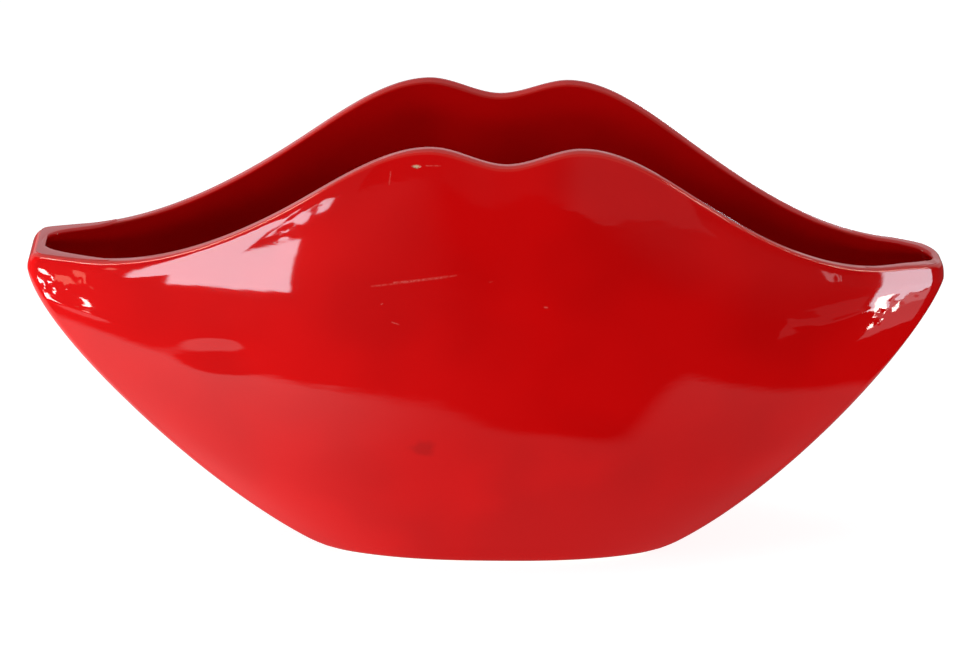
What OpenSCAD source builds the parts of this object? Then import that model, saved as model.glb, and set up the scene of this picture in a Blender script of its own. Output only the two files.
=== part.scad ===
// Lips-shaped vase in red-glazed earthenware: two pressed half shells, a floor,
// the strips of clay that close the joints from inside, and four felt pads.
// Millimetres. +X to the right, +Y to the back, +Z up. The origin lies on the
// table, under the middle of the width. Heights below are measured from the foot
// of the clay, which stands on the pads.

/* [Overall] */
// Width from tip to tip
overall_w = 340; // [300:1:400]
// Height of the rim at the two tips
tip_z = 119.5; // [105:0.5:130]
// Height of the two peaks of the bow
peak_z = 172.5; // [160:0.5:195]
// Height of the dip between the peaks
dip_z = 166.5; // [158:0.5:185]

/* [Rim line] */
// Length of the level run of rim at each tip
tip_run = 21; // [14:0.5:40]
// Distance from the middle of the bow to the middle of each flank
flank_x = 71.5; // [60:0.5:90]
// Height of the rim at the middle of each flank
flank_z = 151; // [142:0.5:160]
// Slope of the rim there, as rise over run
flank_slope = 0.69; // [0.45:0.005:0.85]
// Distance between the two peaks
peak_gap = 52.5; // [36:0.5:80]
// How far the front bow sits to the right of the middle of the width
front_bow_x = 3; // [-8:0.5:8]
// How far the rear bow sits to the right of the middle of the width
rear_bow_x = 3.5; // [-8:0.5:8]

/* [Depth] */
// Depth over both shells at the middle of the rim
rim_depth = 73; // [60:0.5:90]
// Depth over both shells at the belly
belly_depth = 92; // [80:0.5:110]
// Height of the belly
belly_z = 68; // [50:1:90]
// How steeply the walls swell out of the foot, as a multiple of the straight slope to the belly
belly_swell = 1.35; // [1:0.05:2.5]
// How steeply they run into the rim, as a multiple of the straight slope from the belly
rim_draw = 1.8; // [1:0.05:2.5]
// Depth over both shells at the middle of the foot
foot_depth = 56; // [46:0.5:72]
// Depth of the left blunt end at the rim
left_tip_depth = 27; // [15:0.5:30]
// Depth of the right blunt end at the rim
right_tip_depth = 18; // [15:0.5:30]
// Depth of the blunt end at the foot
heel_depth = 40; // [30:0.5:44]
// Fullness of the rim's plan, where 2 is a parabola
rim_power = 1.95; // [1.6:0.05:3.5]
// Fullness of the foot's plan
foot_power = 2.65; // [1.8:0.05:4]
// Corner radius of the left blunt end at the rim
left_tip_corner_r = 5; // [4:0.25:7]
// Corner radius of the right blunt end at the rim
right_tip_corner_r = 7; // [4:0.25:7]
// Corner radius of the blunt ends halfway up and at the foot
heel_corner_r = 8; // [7:0.5:14]

/* [Sides] */
// Width of the foot
foot_w = 131.5; // [110:0.5:160]
// How far the foot sits to the right of the middle of the width
foot_x = 4.5; // [-8:0.5:8]
// Run of the heel's curve beyond the foot
heel_run = 43; // [25:0.5:55]
// Rise of the heel's curve over that run
heel_rise = 21; // [12:0.5:26]
// How far the left cheek's curve starts inside the tip
left_cheek_inset = 3; // [2:0.5:30]
// How far the right cheek's curve starts inside the tip
right_cheek_inset = 6.5; // [2:0.5:30]
// Height at which the cheek's curve starts
cheek_z = 87; // [70:0.5:95]
// Height of the rounded brow between the widest point and the rim
brow_h = 7; // [4:0.25:10]
// How far the brow leans in at the left tip
left_brow_inset = 5; // [0.5:0.25:7]
// How far the brow leans in at the right tip
right_brow_inset = 2.5; // [0.5:0.25:7]

/* [Clay] */
// Thickness of the shells' walls
wall_t = 3.7; // [2.8:0.1:5]
// Thickness of the floor
floor_t = 6; // [4:0.25:9]
// Rounding of the rim's two edges
rim_round = 1.2; // [0.6:0.05:1.3]
// Bevel along the bottom edge
foot_bevel = 1.2; // [0.6:0.1:2]

/* [Joint strips] */
// Clearance left for the slip between the pieces
slip_gap = 0.2; // [0.1:0.05:0.4]
// Length of wall that a seam strip covers on each side of the seam
strip_run = 26; // [16:1:40]
// Thickness that a seam strip adds to the wall beside the tip
strip_t = 2.4; // [1.2:0.1:2.8]
// Thickness of a seam strip at its feathered edges
strip_edge_t = 0.6; // [0.4:0.1:1]
// Height and reach of the strip round the floor
fillet_leg = 5; // [3:0.25:8]

/* [Pads] */
// Diameter of a felt pad
pad_d = 12; // [8:0.5:16]
// Thickness of a felt pad
pad_t = 1; // [0.8:0.1:3]
// Distance between the pads, left to right
pad_gap_x = 72; // [50:1:76]
// Distance between the pads, front to back
pad_gap_y = 26; // [20:1:32]

/* [Facets] */
// Steps across the front of a shell
steps_across = 46; // [24:2:50]
// Steps up a shell
steps_up = 14; // [10:1:20]

/* [Hidden] */
$fn = 48;
FRONT = -1;
REAR = 1;
LEFT = -1;
RIGHT = 1;
half_w = overall_w / 2;
foot_half_w = foot_w / 2;
widest_z = tip_z - brow_h;
// Angle at which the lens of a section runs into the corner of its blunt end
corner_angle = 70;
corner_steps = 4;
round_steps = 3;
strip_steps = 4;
glaze_red = [0.75, 0.06, 0.07];
inside_red = [0.48, 0.03, 0.04];
felt_grey = [0.30, 0.29, 0.28];

// ---- Curves ----

// Cubic through two knots, each [x, value, slope]
function hermite(x, a, b) =
    let (run = b[0] - a[0], t = (x - a[0]) / run)
    (2 * t ^ 3 - 3 * t ^ 2 + 1) * a[1] + (t ^ 3 - 2 * t ^ 2 + t) * run * a[2]
    + (3 * t ^ 2 - 2 * t ^ 3) * b[1] + (t ^ 3 - t ^ 2) * run * b[2];

// Value at x of the curve through a list of knots, level beyond its ends
function along(x, knots, i = 0) =
    x <= knots[0][0] ? knots[0][1] :
    i >= len(knots) - 1 ? knots[len(knots) - 1][1] :
    x <= knots[i + 1][0] ? hermite(x, knots[i], knots[i + 1]) :
    along(x, knots, i + 1);

function bezier(t, a, b, c, d) =
    (1 - t) ^ 3 * a + 3 * t * (1 - t) ^ 2 * b + 3 * t ^ 2 * (1 - t) * c + t ^ 3 * d;

function blend(t, a, b) = a + (b - a) * t;

// Height of the rim over x
function rim_knots(bow_x) = [
    [-half_w + tip_run, tip_z, 0],
    [bow_x - flank_x, flank_z, flank_slope],
    [bow_x - peak_gap / 2, peak_z, 0],
    [bow_x, dip_z, 0],
    [bow_x + peak_gap / 2, peak_z, 0],
    [bow_x + flank_x, flank_z, -flank_slope],
    [half_w - tip_run, tip_z, 0]
];
front_rim_knots = rim_knots(front_bow_x);
rear_rim_knots = rim_knots(rear_bow_x);
function rim_z(x, depth_side) = along(x, depth_side == FRONT ? front_rim_knots : rear_rim_knots);

// Outline of one side in front view, from the foot to the widest point
function side_knots(side) = [
    [foot_x + side * foot_half_w, 0],
    [foot_x + side * (foot_half_w + heel_run), heel_rise],
    [side * (half_w - (side == LEFT ? left_cheek_inset : right_cheek_inset)), cheek_z],
    [side * half_w, widest_z]
];
function side_at(t, side) =
    let (k = side_knots(side)) bezier(t, k[0], k[1], k[2], k[3]);

// The curve's parameter at height z, by halving
function side_t(z, low = 0, high = 1, turns = 22) =
    let (middle = (low + high) / 2)
    turns == 0 ? middle :
    side_at(middle, RIGHT)[1] < z ? side_t(z, middle, high, turns - 1) :
    side_t(z, low, middle, turns - 1);

function brow_inset(side) = side == LEFT ? left_brow_inset : right_brow_inset;

// Place of the side at height z of the tips: [x, wall's width in x per unit of thickness]
function side_place(z, side) =
    z <= widest_z ?
        let (
            t = side_t(z),
            ahead = side_at(min(1, t + 0.01), side),
            behind = side_at(max(0, t - 0.01), side),
            step = ahead - behind
        )
        [side_at(t, side)[0], norm(step) / step[1]] :
        let (
            step = side_at(1, side) - side_at(0.99, side),
            up = min(1, (z - widest_z) / brow_h),
            lean = brow_inset(side) * (1 - sqrt(1 - up ^ 2 * 0.98))
        )
        [side * (half_w - lean), norm(step) / step[1]];

// ---- Sections ----

// Half depths over the height, as a fraction of the height of the rim
belly_f = belly_z / peak_z;
centre_knots = [
    [0, foot_depth / 2, belly_swell * (belly_depth - foot_depth) / 2 / belly_f],
    [belly_f, belly_depth / 2, 0],
    [1, rim_depth / 2, -rim_draw * (belly_depth - rim_depth) / 2 / (1 - belly_f)]
];
function half_depth(f) = along(f, centre_knots);
function end_half_depth(f, side) =
    blend(f, heel_depth, side == LEFT ? left_tip_depth : right_tip_depth) / 2;
function section_power(f) = blend(f, foot_power, rim_power);
function corner_r(f, side) =
    blend(max(0, 2 * f - 1), heel_corner_r, side == LEFT ? left_tip_corner_r : right_tip_corner_r);

// A station is a place along a section: [side, part, amount]. On the blunt end the
// amount runs from the seam to the corner, on the corner it is an angle, and on
// the lens it runs from -1 at the left to 1 at the right.
BLUNT = 0;
CORNER = 1;
LENS = 2;
left_stations = concat(
    [for (a = [0, 0.6]) [LEFT, BLUNT, a]],
    [for (i = [0 : corner_steps - 1]) [LEFT, CORNER, corner_angle * i / corner_steps]]
);
lens_stations = [for (i = [0 : steps_across]) [0, LENS, 2 * i / steps_across - 1]];
right_stations = [for (i = [len(left_stations) - 1 : -1 : 0])
    [RIGHT, left_stations[i][1], left_stations[i][2]]];
stations = concat(left_stations, lens_stations, right_stations);

function corner_inset_r(f, side, inset) = max(0.8, corner_r(f, side) - inset);

// Plan point [x, half depth] of a station at fraction f of the height, on the face
// that lies an inset inside the outer face
function plan_point(f, station, inset) =
    let (
        z = f * tip_z,
        left = side_place(z, LEFT),
        right = side_place(z, RIGHT),
        x_left = left[0] + inset * left[1],
        x_right = right[0] - inset * right[1],
        side = station[0],
        x_end = side == LEFT ? x_left : x_right,
        r = corner_inset_r(f, side, inset),
        corner_y = end_half_depth(f, side) - inset - r * sin(corner_angle),
        along_lens = (station[2] + 1) / 2,
        end_y = blend(along_lens, end_half_depth(f, LEFT), end_half_depth(f, RIGHT)) - inset
    )
    station[1] == BLUNT ? [x_end, station[2] * max(0.1, corner_y)] :
    station[1] == CORNER ? [x_end - side * r * (1 - cos(station[2])), corner_y + r * sin(station[2])] :
    [
        blend(along_lens,
            x_left + corner_inset_r(f, LEFT, inset) * (1 - cos(corner_angle)),
            x_right - corner_inset_r(f, RIGHT, inset) * (1 - cos(corner_angle))),
        end_y + (half_depth(f) - inset - end_y) * (1 - abs(station[2]) ^ section_power(f))
    ];

// Height of the rim over a station
function station_rim_z(station, depth_side) = rim_z(plan_point(1, station, 0)[0], depth_side);

// Point of a station at fraction f of the height of its rim
function wall_point(f, station, inset, depth_side) =
    let (p = plan_point(f, station, inset))
    [p[0], depth_side * p[1], f * station_rim_z(station, depth_side)];

// Point of a station at height z
function level_point(z, station, inset, depth_side) =
    wall_point(z / station_rim_z(station, depth_side), station, inset, depth_side);

// Fractions of the height at which a wall has its rows
wall_rows = [for (i = [0 : steps_up]) side_at(0.04 + 0.96 * i / steps_up, RIGHT)[1] / tip_z];

// ---- Solids ----

function quad(a, b, c, d) = [[a, b, c], [a, c, d]];
function flat(lists) = [for (list = lists) for (item = list) item];

// Closed solid between two grids of equal size, the first of them outside. A grid is
// a list of columns, which run across, of points, which run up.
module between(outer, inner, ring = false, flip = false) {
    columns = len(outer);
    rows = len(outer[0]);
    inner_start = columns * rows;
    function at(c, r) = (c % columns) * rows + r;
    last = ring ? columns - 1 : columns - 2;
    sides = [for (c = [0 : last]) each concat(
        [for (r = [0 : rows - 2]) each quad(at(c, r), at(c + 1, r), at(c + 1, r + 1), at(c, r + 1))],
        [for (r = [0 : rows - 2]) each quad(
            inner_start + at(c + 1, r), inner_start + at(c, r),
            inner_start + at(c, r + 1), inner_start + at(c + 1, r + 1))],
        quad(at(c, rows - 1), at(c + 1, rows - 1),
            inner_start + at(c + 1, rows - 1), inner_start + at(c, rows - 1)),
        quad(at(c + 1, 0), at(c, 0), inner_start + at(c, 0), inner_start + at(c + 1, 0))
    )];
    ends = ring ? [] : [for (r = [0 : rows - 2]) each concat(
        quad(at(0, r), at(0, r + 1), inner_start + at(0, r + 1), inner_start + at(0, r)),
        quad(at(columns - 1, r + 1), at(columns - 1, r),
            inner_start + at(columns - 1, r), inner_start + at(columns - 1, r + 1))
    )];
    faces = concat(sides, ends);
    // Faces are listed clockwise as seen from outside
    turned = flip ? faces : [for (f = faces) [f[2], f[1], f[0]]];
    polyhedron(points = concat(flat(outer), flat(inner)), faces = turned, convexity = 6);
}

// Points over the rounded edge of the rim, from a wall's face towards its other face
function rim_edge(station, inset, other_inset, depth_side) =
    let (
        top = wall_point(1, station, inset, depth_side),
        other = wall_point(1, station, other_inset, depth_side),
        across = [other[0] - top[0], other[1] - top[1], 0],
        step = across / norm(across)
    )
    [for (i = [0 : round_steps]) let (a = 90 * i / round_steps)
        top + step * rim_round * (1 - cos(a)) - [0, 0, rim_round * (1 - sin(a))]];

// Points up one face of a shell, from the foot to the top of the rim
function face_column(station, inset, other_inset, depth_side, bevel) =
    let (
        foot = wall_point(0, station, inset, depth_side),
        foot_other = wall_point(0, station, other_inset, depth_side),
        in_plan = foot_other - foot,
        foot_point = foot + in_plan / norm(in_plan) * bevel
    )
    concat(
        [foot_point],
        [for (f = wall_rows) wall_point(f, station, inset, depth_side)],
        rim_edge(station, inset, other_inset, depth_side)
    );

module shell(depth_side) {
    outer = [for (s = stations) face_column(s, 0, wall_t, depth_side, foot_bevel)];
    inner = [for (s = stations) face_column(s, wall_t, 0, depth_side, 0)];
    translate([0, 0, pad_t])
        between(outer, inner, flip = depth_side == REAR);
}

module front_shell() {
    color(glaze_red) shell(FRONT);
}

module rear_shell() {
    color(glaze_red) shell(REAR);
}

// The whole way round a section, front and rear, as [station, depth side]
function all_round() = concat(
    [for (s = stations) [s, FRONT]],
    [for (i = [len(stations) - 2 : -1 : 1]) [stations[i], REAR]]
);

module floor_slab() {
    face_inset = wall_t + slip_gap;
    levels = [0, floor_t / 2, floor_t];
    // The blunt ends' own stations lie in one line, so the ends close from corner to corner
    across = [for (s = stations) if (s[1] != BLUNT) s];
    front = [for (s = across) [for (z = levels) level_point(z, s, face_inset, FRONT)]];
    rear = [for (s = across) [for (z = levels) level_point(z, s, face_inset, REAR)]];
    color(inside_red)
        translate([0, 0, pad_t])
            between(front, rear);
}

// Strip that fills the corner between the floor and the walls
module floor_seam_strip() {
    low_z = floor_t + slip_gap;
    face_inset = wall_t + slip_gap;
    rise = [0, 0.5, 1];
    wall_side = [for (p = all_round()) [for (k = rise)
        level_point(low_z + k * fillet_leg, p[0], face_inset, p[1])]];
    room_side = [for (p = all_round()) [for (k = rise)
        let (
            wall = level_point(low_z + k * fillet_leg, p[0], face_inset, p[1]),
            floor_point = level_point(low_z, p[0], face_inset + fillet_leg, p[1]),
            inward = [floor_point[0] - wall[0], floor_point[1] - wall[1], 0],
            reach = max(strip_edge_t, fillet_leg * (1 - sqrt(1 - (1 - k) ^ 2)))
        )
        wall + inward / norm(inward) * reach]];
    color(inside_red)
        translate([0, 0, pad_t])
            between(wall_side, room_side, ring = true);
}

// Stations of a seam strip at one tip, from the front wall round to the rear wall
function strip_stations(side) =
    let (
        reach = 2 * strip_run / overall_w,
        lens = [for (i = [strip_steps : -1 : 0]) [side, LENS, side * (1 - reach * i / strip_steps)]],
        tip = [for (i = [corner_steps - 1 : -1 : 0]) [side, CORNER, corner_angle * i / corner_steps]],
        front = concat(lens, tip)
    )
    concat(
        [for (s = front) [s, FRONT]],
        [[[side, BLUNT, 0], FRONT]],
        [for (i = [len(front) - 1 : -1 : 0]) [front[i], REAR]]
    );

// Thickness of a seam strip at a station: full beside the tip, thin at its edges
function strip_thickness(station) =
    station[1] == LENS ?
        blend((1 - abs(station[2])) * overall_w / 2 / strip_run, strip_t, strip_edge_t) :
        strip_t;

module seam_strip(side) {
    bottom_z = floor_t + fillet_leg + 2 * slip_gap;
    rows = concat([bottom_z / tip_z], [for (f = wall_rows) if (f > bottom_z / tip_z + 0.04) f], [1]);
    face_inset = wall_t + slip_gap;
    round_tip = strip_stations(side);
    wall_side = [for (p = round_tip) [for (f = rows) wall_point(f, p[0], face_inset, p[1])]];
    room_side = [for (p = round_tip) [for (f = rows)
        let (
            wall = wall_point(f, p[0], face_inset, p[1]),
            room = plan_point(f, p[0], face_inset)[1] - strip_thickness(p[0])
        )
        [wall[0] - side * strip_edge_t, p[1] * max(p[0][1] == BLUNT ? 0 : 0.3, room), wall[2]]]];
    color(inside_red)
        translate([0, 0, pad_t])
            between(wall_side, room_side, flip = side == LEFT);
}

module left_seam_strip() {
    seam_strip(LEFT);
}

module right_seam_strip() {
    seam_strip(RIGHT);
}

module pad(side, depth_side) {
    color(felt_grey)
        translate([foot_x + side * pad_gap_x / 2, depth_side * pad_gap_y / 2, 0])
            cylinder(d = pad_d, h = pad_t);
}

module front_left_pad() {
    pad(LEFT, FRONT);
}

module front_right_pad() {
    pad(RIGHT, FRONT);
}

module rear_left_pad() {
    pad(LEFT, REAR);
}

module rear_right_pad() {
    pad(RIGHT, REAR);
}

front_shell();
rear_shell();
left_seam_strip();
right_seam_strip();
floor_slab();
floor_seam_strip();
front_left_pad();
front_right_pad();
rear_left_pad();
rear_right_pad();
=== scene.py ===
"""A lips-shaped vase in glossy red glaze, dressed over its packed clay model.

Lengths are metres in code and millimetres where a name or comment says so. +X is to
the right, +Y to the back, +Z up, and the vase stands on the floor at the origin.
"""

import functools
import math

import bpy
import numpy as np
from bpy.props import FloatProperty, FloatVectorProperty, PointerProperty
from mathutils import Matrix, Vector


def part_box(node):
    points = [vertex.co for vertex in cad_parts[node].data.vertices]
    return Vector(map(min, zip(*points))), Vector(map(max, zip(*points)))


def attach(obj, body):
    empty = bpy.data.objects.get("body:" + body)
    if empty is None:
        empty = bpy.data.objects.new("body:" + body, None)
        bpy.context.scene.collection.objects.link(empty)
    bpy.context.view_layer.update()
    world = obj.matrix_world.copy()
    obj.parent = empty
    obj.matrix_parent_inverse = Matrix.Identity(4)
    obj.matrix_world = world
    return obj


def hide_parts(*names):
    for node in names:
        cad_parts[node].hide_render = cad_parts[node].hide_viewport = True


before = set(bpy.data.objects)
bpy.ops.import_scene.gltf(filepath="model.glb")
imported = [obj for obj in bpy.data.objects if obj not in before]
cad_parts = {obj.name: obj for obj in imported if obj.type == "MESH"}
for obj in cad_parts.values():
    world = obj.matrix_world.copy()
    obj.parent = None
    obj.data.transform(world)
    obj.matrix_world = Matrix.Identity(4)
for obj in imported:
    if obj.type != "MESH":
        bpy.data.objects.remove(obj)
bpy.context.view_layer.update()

bl_info = {
    "name": "Lips Vase",
    "version": (1, 0, 0),
    "blender": (4, 5, 0),
    "location": "3D View > Sidebar > Vase",
    "description": "Models a lips-shaped glazed vase, its floor, lamps and camera",
    "category": "Object",
}

MM = 0.001
LEFT, RIGHT = -1, 1
FRONT, REAR = -1, 1
BLUNT, CORNER, LENS = range(3)
PAD_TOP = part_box("front_left_pad")[1].z
SHELL_LOW, SHELL_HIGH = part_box("front_shell")
REAR_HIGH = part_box("rear_shell")[1]

# Steps along the shells, up their walls and round their edges, and steps along the floor and coil
WALL_STATIONS, WALL_ROWS, ROUND_ROWS = 230, 120, 8
FLOOR_STATIONS = 120


def length(name, description, millimetres):
    """A property for a length of the clay, given in millimetres."""
    return FloatProperty(
        name=name, description=description, default=millimetres * MM, unit="LENGTH", precision=4
    )


def factor(name, description, default, top=4.0):
    return FloatProperty(name=name, description=description, default=default, min=0.0, max=top)


def hex_colour(code):
    """An sRGB hex colour as linear red, green and blue."""
    parts = [int(code[i : i + 2], 16) / 255 for i in (1, 3, 5)]
    return [c / 12.92 if c <= 0.04045 else ((c + 0.055) / 1.055) ** 2.4 for c in parts]


def colour(name, description, code):
    return FloatVectorProperty(
        name=name, description=description, subtype="COLOR", size=3, min=0.0, max=1.0,
        default=hex_colour(code),
    )


class VaseSizes(bpy.types.PropertyGroup):
    """Sizes of the clay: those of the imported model, and finer ones for its rims and tips."""

    overall_w: length("Overall width", "Width from tip to tip", (SHELL_HIGH.x - SHELL_LOW.x) / MM)
    peak_z: length("Peak height", "Height of the bow's two peaks", (SHELL_HIGH.z - PAD_TOP) / MM)
    belly_depth: length("Belly depth", "Depth over both shells", (REAR_HIGH.y - SHELL_LOW.y) / MM)
    tip_z: length("Tip height", "Height of the rim at the two tips", 119.5)
    dip_z: length("Dip height", "Height of the dip between the peaks", 166.5)
    tip_run: length("Tip run", "Length of the level run of rim at each tip", 21)
    flank_x: length("Flank place", "From the middle of the bow to the middle of a flank", 71.5)
    flank_z: length("Flank height", "Height of the rim at the middle of a flank", 151)
    flank_slope: factor("Flank slope", "Slope of the rim at the middle of a flank", 0.69)
    peak_gap: length("Peak gap", "Distance between the two peaks", 52.5)
    front_bow_x: length("Front bow shift", "How far the front bow sits to the right", 3)
    rear_bow_x: length("Rear bow shift", "How far the rear bow sits to the right", 3.5)
    rim_depth: length("Rim depth", "Depth over both shells at the middle of the rim", 73)
    belly_z: length("Belly height", "Height of the belly", 68)
    belly_swell: factor("Belly swell", "How steeply the walls swell out of the foot", 1.35)
    rim_draw: factor("Rim draw", "How steeply the walls run into the rim", 1.8)
    foot_depth: length("Foot depth", "Depth over both shells at the middle of the foot", 56)
    left_tip_depth: length("Left tip depth", "Depth of the left blunt end at the rim", 27)
    right_tip_depth: length("Right tip depth", "Depth of the right blunt end at the rim", 22)
    heel_depth: length("Heel depth", "Depth of the blunt ends at the foot", 40)
    rim_power: factor("Rim fullness", "Fullness of the rim's plan", 1.95)
    foot_power: factor("Foot fullness", "Fullness of the foot's plan", 2.65)
    left_tip_corner_r: length("Left tip corner", "Corner radius of the left tip", 5)
    right_tip_corner_r: length("Right tip corner", "Corner radius of the right tip", 9)
    heel_corner_r: length("Heel corner", "Corner radius of the blunt ends low down", 8)
    foot_w: length("Foot width", "Width of the foot", 131.5)
    foot_x: length("Foot shift", "How far the foot sits to the right", 4.5)
    heel_run: length("Heel run", "Run of the heel's curve beyond the foot", 43)
    heel_rise: length("Heel rise", "Rise of the heel's curve over that run", 21)
    left_cheek_inset: length("Left cheek", "How far inside the tip the left cheek starts", 3)
    right_cheek_inset: length("Right cheek", "How far inside the tip the right cheek starts", 6.5)
    cheek_z: length("Cheek height", "Height at which the cheeks start", 87)
    brow_h: length("Brow height", "Height of the rounded brow under the rim at a tip", 7)
    left_brow_inset: length("Left brow", "How far the brow leans in at the left tip", 5)
    right_brow_inset: length("Right brow", "How far the brow leans in at the right tip", 2.5)
    wall_t: length("Wall", "Thickness of the shells' walls", 3.7)
    floor_t: length("Floor", "Thickness of the floor", 6)
    rim_round: length("Rim rounding", "Rounding of the rim's two edges", 1.2)
    rear_lip_r: length("Rear lip", "Rounding of the rear rim's inner edge between the tips", 2.5)
    foot_bevel: length("Foot bevel", "Bevel along the bottom edge", 1.2)
    strip_run: length("Seam strip run", "Length of wall that a seam strip covers", 26)
    right_tip_sag: length("Right tip sag", "How far the rim sags at the right tip", 2.0)
    tip_thinning: factor("Tip thinning", "Share by which a wall thins behind a seam strip", 0.24)
    left_nose: length("Left nose", "Width of the curve that ends the hollow at the left", 16.8)
    right_nose: length("Right nose", "Width of the curve that ends the hollow at the right", 8.4)
    strip_round: length("Seam strip rounding", "Rounding of a seam strip's edge at the rim", 1.3)
    fillet_leg: length("Floor fillet", "Height and reach of the coil round the floor", 5)


class GlazeLook(bpy.types.PropertyGroup):
    """Colours of the glaze and of what shows where there is none."""

    red: colour("Red glaze", "Glossy opaque red glaze", "#CE0708")
    deep_red: colour("Pooled glaze", "The same glaze where it lies thicker", "#C00607")
    thin_red: colour("Thin glaze", "The same glaze where it thins over an edge", "#D4372F")
    clay: colour("Fired clay", "Cream earthenware, bare under the foot and in chips", "#D9C3A0")
    clay_shade: colour("Fired clay, shaded", "The same clay in its coarser grains", "#B79A72")
    scuff: colour("Scuffed glaze", "Glaze dulled by a scratch", "#DC5A50")
    # Colour of a painted dark reflection, laid on a patch low on the front
    painted_dark_reflection: colour("Painted dark reflection", "A dark reflection painted into the glaze", "#8E0406")
    felt: colour("Felt", "Charcoal felt of the pads", "#3B3A38")


class StageLook(bpy.types.PropertyGroup):
    """Floor, room and lamps."""

    ambient: factor("Room light", "Even light of the room on the vase", 0.27)
    paper: factor("Paper", "How white the floor shows", 0.875)
    bounce: factor("Bounce", "Light that the floor throws up at the vase", 1.18)
    window: factor("Window", "Brightness of the windows", 11.5, 60.0)
    lamp: factor("Lamps", "Brightness of the bare lamps that glint in the glaze", 30.0, 90.0)
    back_wall: factor("Back wall", "Brightness of the pale wall behind", 1.5, 10.0)
    soft_box: factor("Soft box", "Power of the soft box at the left, in watts", 2.3, 500.0)
    top_box: factor("Top box", "Power of the soft box overhead, in watts", 5.0, 500.0)
    front_box: factor("Front box", "Power of the low soft box at the front, in watts", 2.0, 500.0)


# ---- Form of the vase ----


def hermite(x, a, b):
    """Cubic through two knots, each (x, value, slope)."""
    run = b[0] - a[0]
    t = (x - a[0]) / run
    return (
        (2 * t**3 - 3 * t**2 + 1) * a[1]
        + (t**3 - 2 * t**2 + t) * run * a[2]
        + (3 * t**2 - 2 * t**3) * b[1]
        + (t**3 - t**2) * run * b[2]
    )


def along(x, knots):
    """Values at x of the curve through knots, level beyond its ends."""
    x = np.clip(np.asarray(x, float), knots[0][0], knots[-1][0])
    value = np.full(x.shape, float(knots[0][1]))
    for a, b in zip(knots, knots[1:]):
        value = np.where(x > a[0], hermite(x, a, b), value)
    return value


def bezier(t, a, b, c, d):
    return (1 - t) ** 3 * a + 3 * t * (1 - t) ** 2 * b + 3 * t**2 * (1 - t) * c + t**3 * d


def blend(t, a, b):
    return a + (b - a) * t


def direction(azimuth, elevation):
    """Unit vector from the vase; azimuth 0 is to the front and 90 to the right."""
    a, e = math.radians(azimuth), math.radians(elevation)
    return Vector((math.sin(a) * math.cos(e), -math.cos(a) * math.cos(e), math.sin(e)))


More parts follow.
